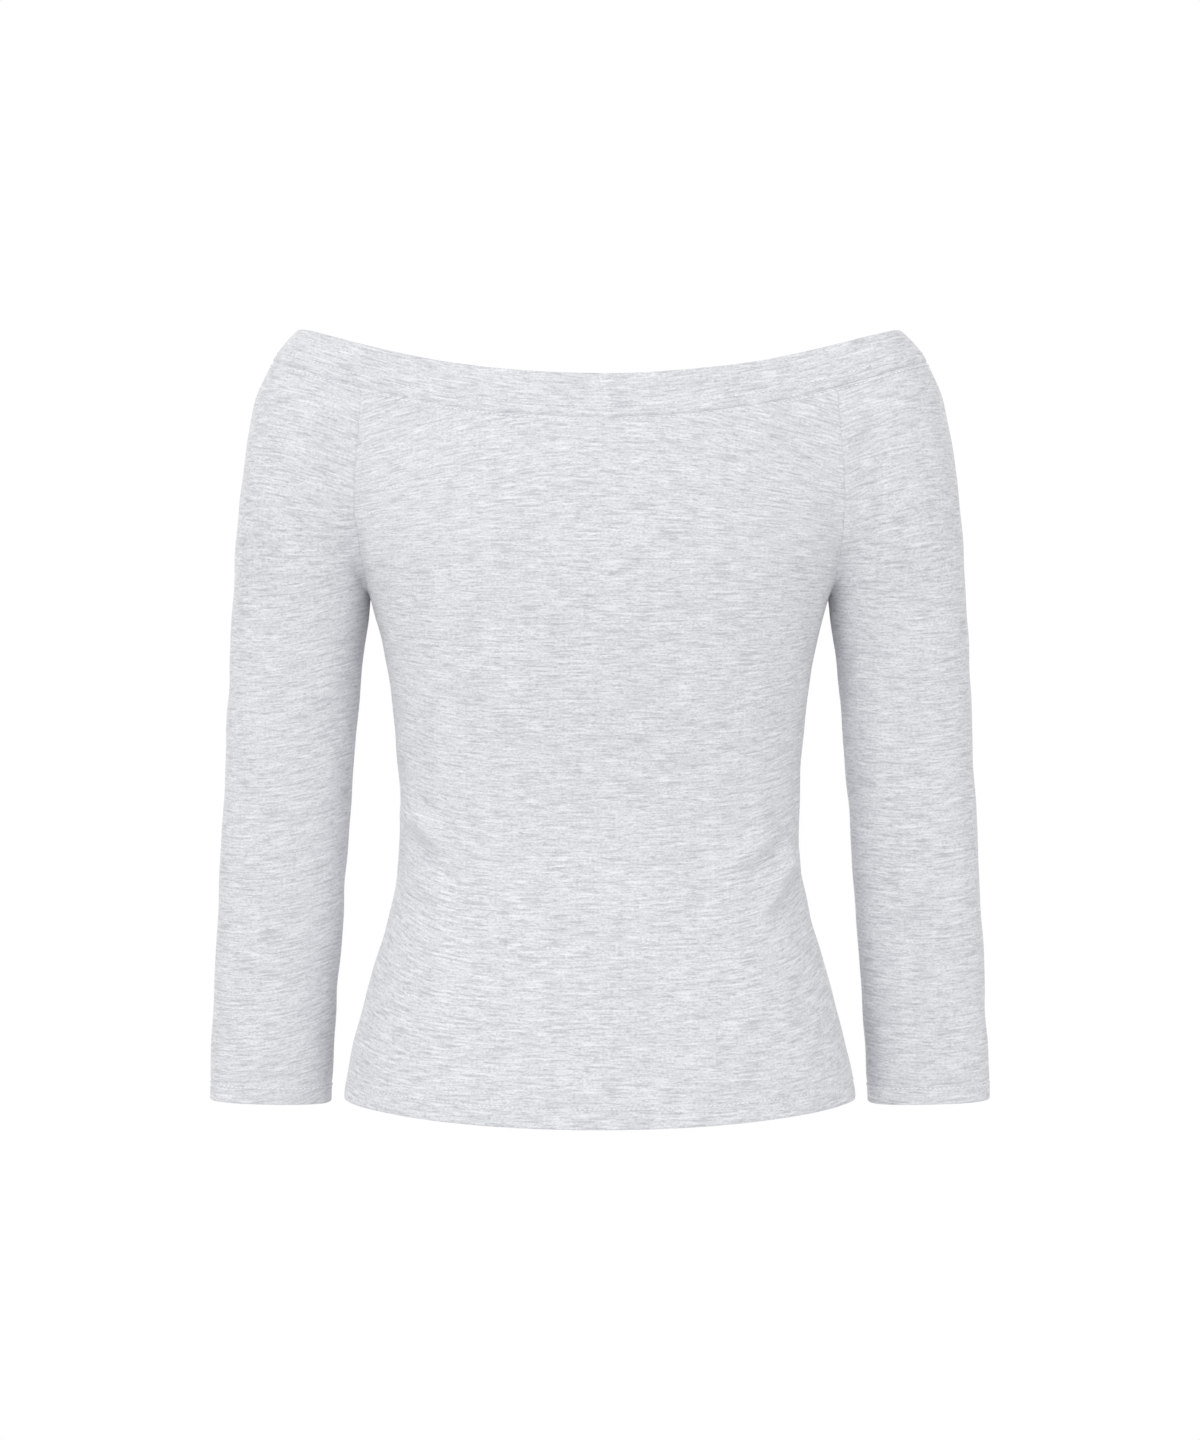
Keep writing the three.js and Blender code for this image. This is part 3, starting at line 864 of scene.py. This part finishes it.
def melange_jersey(name, looks):
    """Single jersey of carded melange cotton: dyed and undyed fibres lie in short streaks along each
    course, so the eye sees thin grey dashes, a few pale ones, and soft cloudy patches between."""
    material = bare_material(name)
    tree = material.node_tree
    cloth = add_node(tree, "ShaderNodeUVMap", uv_map="cloth").outputs["UV"]

    def streaks(length, thickness, start, detail):
        scale = (1 / (length * MM), 1 / (thickness * MM), 1.0)
        laid = add_node(
            tree, "ShaderNodeMapping", {"Vector": cloth, "Location": (*start, 0), "Scale": scale}
        )
        noise = add_node(
            tree,
            "ShaderNodeTexNoise",
            {
                "Vector": laid.outputs["Vector"],
                "Scale": 1.0,
                "Detail": detail,
                "Roughness": FIBRE_ROUGHNESS,
            },
            noise_dimensions="2D",
        )
        return noise.outputs["Fac"]

    base = linear(looks.jersey)
    for colour, length, thickness, start, detail, low, high, strength in FIBRE_LAYERS:
        shown = add_node(
            tree,
            "ShaderNodeMapRange",
            {
                "Value": streaks(length, thickness, start, detail),
                "From Min": low,
                "From Max": high,
                "To Min": 0.0,
                "To Max": strength,
            },
            interpolation_type="SMOOTHSTEP",
        )
        layer = {0: shown.outputs["Result"], 6: base, 7: linear(getattr(looks, colour))}
        base = add_node(tree, "ShaderNodeMix", layer, data_type="RGBA").outputs[2]

    parts = add_node(tree, "ShaderNodeSeparateXYZ", {"Vector": cloth}).outputs
    values = {"across": parts["X"], "up": parts["Y"], "slub": streaks(*SLUB)}
    for made, operation, *given in KNIT_SUMS:
        inputs = {n: values.get(value, value) for n, value in enumerate(given)}
        sum_node = add_node(tree, "ShaderNodeMath", inputs, operation=operation)
        values[made] = sum_node.outputs["Value"]
    bump = add_node(
        tree, "ShaderNodeBump", {"Strength": 0.35, "Distance": 0.25 * MM, "Height": values["relief"]}
    )
    shader = add_node(
        tree,
        "ShaderNodeBsdfPrincipled",
        {
            "Base Color": base,
            "Roughness": 0.92,
            "IOR": 1.46,
            "Specular IOR Level": 0.25,
            "Sheen Weight": 0.3,
            "Sheen Roughness": 0.4,
            "Normal": bump.outputs["Normal"],
        },
    )
    add_node(tree, "ShaderNodeOutputMaterial", {"Surface": shader.outputs["BSDF"]})
    return material


# The size of the thread's uneven twist, in millimetres
THREAD_TWIST = 1 / 3
THREAD_SHADE = "#e6e8ec"


def sewing_thread(name, colour):
    """Spun polyester thread: matt, a little paler than the cloth, with a faint twist."""
    material = bare_material(name)
    tree = material.node_tree
    where = add_node(tree, "ShaderNodeTexCoord").outputs["Object"]
    twist = add_node(
        tree,
        "ShaderNodeTexNoise",
        {"Vector": where, "Scale": 1 / (THREAD_TWIST * MM), "Detail": 1.0},
    )
    shade = add_node(
        tree,
        "ShaderNodeMix",
        {0: twist.outputs["Fac"], 6: linear(colour), 7: linear(THREAD_SHADE)},
        data_type="RGBA",
    )
    bump = add_node(
        tree,
        "ShaderNodeBump",
        {"Strength": 0.3, "Distance": 0.1 * MM, "Height": twist.outputs["Fac"]},
    )
    shader = add_node(
        tree,
        "ShaderNodeBsdfPrincipled",
        {"Base Color": shade.outputs[2], "Roughness": 0.7, "Normal": bump.outputs["Normal"]},
    )
    add_node(tree, "ShaderNodeOutputMaterial", {"Surface": shader.outputs["BSDF"]})
    return material


FLOOR_COLOUR = "#ededee"
FLOOR_PATCH = "#f4f4f5"


def plain_floor(name, colour):
    """Painted studio floor: even and matt."""
    material = bare_material(name)
    tree = material.node_tree
    where = add_node(tree, "ShaderNodeTexCoord").outputs["Object"]
    patches = add_node(tree, "ShaderNodeTexNoise", {"Vector": where, "Scale": 3.0, "Detail": 2.0})
    shade = add_node(
        tree,
        "ShaderNodeMix",
        {0: patches.outputs["Fac"], 6: linear(colour), 7: linear(FLOOR_PATCH)},
        data_type="RGBA",
    )
    shader = add_node(
        tree, "ShaderNodeBsdfPrincipled", {"Base Color": shade.outputs[2], "Roughness": 0.85}
    )
    add_node(tree, "ShaderNodeOutputMaterial", {"Surface": shader.outputs["BSDF"]})
    return material


# Stitches


def stitch_tree(material):
    """Lays stitches along a line. Each line point says which way is out of the cloth."""
    tree = bpy.data.node_groups.new("Stitch row", "GeometryNodeTree")
    sockets = tree.interface
    sockets.new_socket("Geometry", in_out="INPUT", socket_type="NodeSocketGeometry")
    for name in ("Pitch", "Stitch length", "Thread thickness"):
        sockets.new_socket(name, in_out="INPUT", socket_type="NodeSocketFloat")
    sockets.new_socket("Geometry", in_out="OUTPUT", socket_type="NodeSocketGeometry")
    given = add_node(tree, "NodeGroupInput").outputs
    curve = add_node(tree, "GeometryNodeMeshToCurve", {"Mesh": given["Geometry"]})
    spaced = add_node(
        tree,
        "GeometryNodeResampleCurve",
        {"Curve": curve.outputs["Curve"], "Length": given["Pitch"]},
        mode="LENGTH",
    )
    along = add_node(
        tree,
        "FunctionNodeAlignRotationToVector",
        {"Vector": add_node(tree, "GeometryNodeInputTangent").outputs["Tangent"]},
        axis="X",
    )
    out = add_node(tree, "GeometryNodeInputNamedAttribute", {"Name": "out"}, data_type="FLOAT_VECTOR")
    turned = add_node(
        tree,
        "FunctionNodeAlignRotationToVector",
        {"Rotation": along.outputs["Rotation"], "Vector": out.outputs["Attribute"]},
        axis="Z",
        pivot_axis="X",
    )
    thread = add_node(
        tree,
        "GeometryNodeMeshUVSphere",
        {"Segments": STITCH_SIDES, "Rings": STITCH_RINGS, "Radius": 0.5},
    )
    shape = add_node(
        tree,
        "ShaderNodeCombineXYZ",
        {
            "X": given["Stitch length"],
            "Y": given["Thread thickness"],
            "Z": given["Thread thickness"],
        },
    )
    long_thread = add_node(
        tree,
        "GeometryNodeTransform",
        {"Geometry": thread.outputs["Mesh"], "Scale": shape.outputs["Vector"]},
    )
    uneven = add_node(
        tree,
        "FunctionNodeRandomValue",
        {"Min": STITCH_LEAST, "Max": STITCH_MOST, "Seed": STITCH_SEED},
        data_type="FLOAT_VECTOR",
    )
    laid = add_node(
        tree,
        "GeometryNodeInstanceOnPoints",
        {
            "Points": spaced.outputs["Curve"],
            "Instance": long_thread.outputs["Geometry"],
            "Rotation": turned.outputs["Rotation"],
            "Scale": uneven.outputs["Value"],
        },
    )
    real = add_node(tree, "GeometryNodeRealizeInstances", {"Geometry": laid.outputs["Instances"]})
    coloured = add_node(
        tree, "GeometryNodeSetMaterial", {"Geometry": real.outputs["Geometry"], "Material": material}
    )
    add_node(tree, "NodeGroupOutput", {"Geometry": coloured.outputs["Geometry"]})
    return tree


def line_along(sheet, distances, wanted, raised):
    """A line over a sheet at a set distance from one of its edges."""
    columns = sheet.outer.shape[1]
    line = np.empty((columns, 3))
    out = np.empty((columns, 3))
    for c in range(columns):
        order = np.argsort(distances[:, c])
        for axis in range(3):
            line[c, axis] = np.interp(wanted, distances[order, c], sheet.outer[order, c, axis])
            out[c, axis] = np.interp(wanted, distances[order, c], sheet.normals[order, c, axis])
    return line + out * raised, out


def sew(name, lines, tree, sizes, material):
    """Turns lines over the cloth into one mesh of stitches."""
    mesh = bpy.data.meshes.new(name + "_lines")
    points = np.concatenate([line for line, _ in lines]) * MM
    edges = []
    start = 0
    for line, _ in lines:
        edges += [(start + i, start + i + 1) for i in range(len(line) - 1)]
        start += len(line)
    mesh.from_pydata(points.tolist(), edges, [])
    outs = np.concatenate([out for _, out in lines])
    mesh.attributes.new("out", "FLOAT_VECTOR", "POINT").data.foreach_set("vector", outs.ravel())
    guide = bpy.data.objects.new(name + "_lines", mesh)
    bpy.context.scene.collection.objects.link(guide)
    rows = guide.modifiers.new("Stitch row", "NODES")
    rows.node_group = tree
    values = {"Pitch": sizes.pitch, "Stitch length": sizes.length, "Thread thickness": sizes.thickness}
    for item in tree.interface.items_tree:
        if item.in_out == "INPUT" and item.name in values:
            rows[item.identifier] = values[item.name]
    depsgraph = bpy.context.evaluated_depsgraph_get()
    made = bpy.data.meshes.new_from_object(guide.evaluated_get(depsgraph))
    made.name = name
    made.materials.clear()
    made.materials.append(material)
    bpy.data.objects.remove(guide)
    piece = bpy.data.objects.new(name, made)
    bpy.context.scene.collection.objects.link(piece)
    return piece


SHEETS = {}
MADE_MATERIALS = {}


def jersey_material(slot):
    if slot not in MADE_MATERIALS:
        MADE_MATERIALS[slot] = melange_jersey("melange " + slot, bpy.context.scene.top_looks)
    return MADE_MATERIALS[slot]


def add_cloth(cut, levels, finish, courses, slot):
    sheet = cloth_piece(cut, levels, finish, courses)
    SHEETS[cut.name] = sheet
    piece = wall_mesh(sheet, jersey_material(slot))
    piece.name = cut.name + "_cloth"
    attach(piece, "root")
    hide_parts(cut.name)


class TopSizes(bpy.types.PropertyGroup):
    """Sizes that a user would change"""

    cloth: bpy.props.FloatProperty(
        name="Cloth thickness",
        description="Thickness of one layer of jersey",
        default=1.15 * MM,
        min=0.3 * MM,
        unit="LENGTH",
    )
    pitch: bpy.props.FloatProperty(
        name="Stitch pitch",
        description="Distance from one stitch to the next",
        default=2.9 * MM,
        min=1 * MM,
        unit="LENGTH",
    )
    stitch: bpy.props.FloatProperty(
        name="Stitch length",
        description="Length of one stitch as it lies on the cloth",
        default=2.1 * MM,
        min=0.5 * MM,
        unit="LENGTH",
    )
    thread: bpy.props.FloatProperty(
        name="Thread thickness",
        description="Thickness of the sewing thread",
        default=0.65 * MM,
        min=0.1 * MM,
        unit="LENGTH",
    )
    floor_depth: bpy.props.FloatProperty(
        name="Floor depth",
        description="How far below the shoulders the floor lies",
        default=1.2,
        min=0.6,
        unit="LENGTH",
    )


class TopLooks(bpy.types.PropertyGroup):
    """Colours that a user would change"""

    jersey: bpy.props.StringProperty(
        name="Jersey", description="Main colour of the cloth, as sRGB hex", default="#dfe0e3"
    )
    cloud: bpy.props.StringProperty(
        name="Cloudy patches", description="Colour of the softly mottled patches", default="#d3d4d8"
    )
    dark_fibre: bpy.props.StringProperty(
        name="Dark fibre", description="Colour of the grey streaks", default="#a9abb0"
    )
    pale_fibre: bpy.props.StringProperty(
        name="Pale fibre", description="Colour of the undyed streaks", default="#f2f3f5"
    )
    thread: bpy.props.StringProperty(
        name="Thread", description="Colour of the sewing thread", default="#f3f4f7"
    )


class TOP_OT_panels(bpy.types.Operator):
    """Make the back and the front panel"""

    bl_idname = "knit_top.panels"
    bl_label = "Body panels"

    def execute(self, context):
        cloth = context.scene.top_sizes.cloth / MM
        levels = np.concatenate([rises_to(BODY_LENGTH) / BODY_LENGTH, yoke_levels()])
        for name, facing in (("back_panel", -1), ("front_panel", 1)):
            add_cloth(panel_cut(name, facing), levels, hemmed_finish(cloth), panel_courses, "jersey")
        return {"FINISHED"}


class TOP_OT_sleeves(bpy.types.Operator):
    """Make the left and the right sleeve"""

    bl_idname = "knit_top.sleeves"
    bl_label = "Sleeves"

    def execute(self, context):
        cloth = context.scene.top_sizes.cloth / MM
        levels = np.concatenate([rises_to(SLEEVE_LENGTH) / SLEEVE_LENGTH, yoke_levels()])
        for name, mirrored, slants in (
            ("left_sleeve", True, LEFT_SLEEVE_COURSES),
            ("right_sleeve", False, RIGHT_SLEEVE_COURSES),
        ):
            courses = sleeve_courses(slants)
            add_cloth(sleeve_cut(name, mirrored), levels, hemmed_finish(cloth), courses, "jersey")
        return {"FINISHED"}


class TOP_OT_neckband(bpy.types.Operator):
    """Make the neckband, folded double"""

    bl_idname = "knit_top.neckband"
    bl_label = "Neckband"

    def execute(self, context):
        cloth = context.scene.top_sizes.cloth / MM
        fold = BAND_WIDTH - FOLD_STEPS[::-1]
        flat = fold[0] - EDGE_STEPS[-1]
        even = EDGE_STEPS[-1] + np.linspace(0, flat, round(flat / GRID) + 1)[1:-1]
        levels = np.concatenate([EDGE_STEPS, even, fold]) / BAND_WIDTH
        add_cloth(band_cut("neckband"), levels, band_finish(cloth), None, "band_jersey")
        return {"FINISHED"}


class TOP_OT_stitches(bpy.types.Operator):
    """Sew the rows of stitches beside the neck seam and on the hems"""

    bl_idname = "knit_top.stitches"
    bl_label = "Stitches"

    def execute(self, context):
        given = context.scene.top_sizes
        sizes = SimpleNamespace(pitch=given.pitch, length=given.stitch, thickness=given.thread)
        thread = sewing_thread("spun polyester thread", context.scene.top_looks.thread)
        tree = stitch_tree(thread)
        raised = STITCH_RAISE * given.thread / MM
        for name, sheet in SHEETS.items():
            place = sheet.place
            if name == "neckband":
                rows = [(place.bottom_edge, STITCH_ROW_ABOVE_SEAM)]
            else:
                hem = HEM_ROW if name.endswith("panel") else CUFF_ROW
                rows = [(place.top_edge, STITCH_ROW_BELOW_SEAM), (place.bottom_edge, hem)]
            lines = [line_along(sheet, distances, wanted, raised) for distances, wanted in rows]
            piece = sew(name + "_stitches", lines, tree, sizes, thread)
            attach(piece, "root")
        return {"FINISHED"}


# The stage. Places and sizes are in metres, and the power of the lamps in watts.
LIT_POINT = (0, 0, -0.24)
LIGHTS = (
    ("left front light", (-1.35, -2.2, -0.24), 1.4, 10.5),
    ("right front light", (1.35, -2.2, -0.24), 1.4, 10.5),
    ("high light", (-0.42, -2.01, 1.32), 1.6, 12),
    ("top light", (-0.38, -1.03, 2.12), 1.6, 7),
    ("left light", (-2.52, -0.44, 0.21), 1.6, 9),
    ("right light", (2.52, -0.44, 0.21), 1.6, 6),
    ("back light", (-0.6, 1.8, 1.6), 1.2, 9),
)
SURROUND_DIM = 0.68
SURROUND_BRIGHT = 1.15
CAMERA_PLACE = (0.0003, -2.4, -0.2431)
CAMERA_LENS = 96
CAMERA_SENSOR = 36
FLOOR_RADIUS = 1.1
FLOOR_SIDES = 64


def white_surround(tree):
    """A white studio, a little brighter at the backdrop. It is plain white where the camera sees it."""
    tree.nodes.clear()
    way = add_node(tree, "ShaderNodeTexCoord").outputs["Generated"]
    backwards = add_node(tree, "ShaderNodeSeparateXYZ", {"Vector": way}).outputs["Y"]
    lit = add_node(
        tree,
        "ShaderNodeMapRange",
        {
            "Value": backwards,
            "From Min": 0.35,
            "From Max": 0.85,
            "To Min": SURROUND_DIM,
            "To Max": SURROUND_BRIGHT,
        },
        interpolation_type="SMOOTHSTEP",
    )
    seen = add_node(tree, "ShaderNodeLightPath").outputs["Is Camera Ray"]
    strength = add_node(tree, "ShaderNodeMix", {0: seen, 2: lit.outputs["Result"], 3: 1.0})
    light = add_node(
        tree, "ShaderNodeBackground", {"Color": (1, 1, 1, 1), "Strength": strength.outputs[0]}
    )
    add_node(tree, "ShaderNodeOutputWorld", {"Surface": light.outputs["Background"]})


def add_soft_light(name, place, size, power):
    """A round lamp that looks at the middle of the top."""
    lamp = bpy.data.lights.new(name, "AREA")
    lamp.shape = "DISK"
    lamp.size = size
    lamp.energy = power
    light = bpy.data.objects.new(name, lamp)
    light.location = place
    aim = np.array(LIT_POINT) - np.array(place)
    yaw = math.atan2(-aim[0], aim[1])
    pitch = math.atan2(math.hypot(aim[0], aim[1]), -aim[2])
    light.rotation_euler = (pitch, 0, yaw)
    bpy.context.scene.collection.objects.link(light)


def add_camera(scene):
    camera = bpy.data.cameras.new("camera")
    camera.lens = CAMERA_LENS
    camera.sensor_width = CAMERA_SENSOR
    camera.sensor_fit = "AUTO"
    eye = bpy.data.objects.new("camera", camera)
    eye.location = CAMERA_PLACE
    eye.rotation_euler = (math.pi / 2, 0, 0)
    scene.collection.objects.link(eye)
    scene.camera = eye


def add_floor(scene):
    mesh = bpy.data.meshes.new("floor")
    turns = np.linspace(0, WHOLE_TURN, FLOOR_SIDES, endpoint=False)
    height = -scene.top_sizes.floor_depth
    rim = [(FLOOR_RADIUS * math.cos(turn), FLOOR_RADIUS * math.sin(turn), height) for turn in turns]
    mesh.from_pydata(rim, [], [list(range(FLOOR_SIDES))])
    mesh.materials.append(plain_floor("painted floor", FLOOR_COLOUR))
    disc = bpy.data.objects.new("floor", mesh)
    scene.collection.objects.link(disc)


class TOP_OT_stage(bpy.types.Operator):
    """Set up the floor, the light and the camera"""

    bl_idname = "knit_top.stage"
    bl_label = "Floor, light and camera"

    def execute(self, context):
        scene = context.scene
        scene.view_settings.view_transform = "Standard"
        world = bpy.data.worlds.new("white studio")
        world.use_nodes = True
        white_surround(world.node_tree)
        scene.world = world
        for light in LIGHTS:
            add_soft_light(*light)
        add_camera(scene)
        add_floor(scene)
        return {"FINISHED"}


class TOP_PT_panel(bpy.types.Panel):
    """Sizes, colours and making steps of the top"""

    bl_label = "Off-shoulder top"
    bl_idname = "TOP_PT_panel"
    bl_space_type = "VIEW_3D"
    bl_region_type = "UI"
    bl_category = "Knit top"

    def draw(self, context):
        for group in (context.scene.top_sizes, context.scene.top_looks):
            for name in group.__annotations__:
                self.layout.prop(group, name)
        for operator in OPERATORS:
            self.layout.operator(operator.bl_idname)


OPERATORS = (TOP_OT_panels, TOP_OT_sleeves, TOP_OT_neckband, TOP_OT_stitches, TOP_OT_stage)
CLASSES = (TopSizes, TopLooks, *OPERATORS, TOP_PT_panel)


def register():
    for made in CLASSES:
        bpy.utils.register_class(made)
    bpy.types.Scene.top_sizes = bpy.props.PointerProperty(type=TopSizes)
    bpy.types.Scene.top_looks = bpy.props.PointerProperty(type=TopLooks)


def unregister():
    del bpy.types.Scene.top_looks
    del bpy.types.Scene.top_sizes
    for made in reversed(CLASSES):
        bpy.utils.unregister_class(made)


def main():
    register()
    bpy.ops.knit_top.panels()
    bpy.ops.knit_top.sleeves()
    bpy.ops.knit_top.neckband()
    bpy.ops.knit_top.stitches()
    bpy.ops.knit_top.stage()


if __name__ == "__main__":
    main()
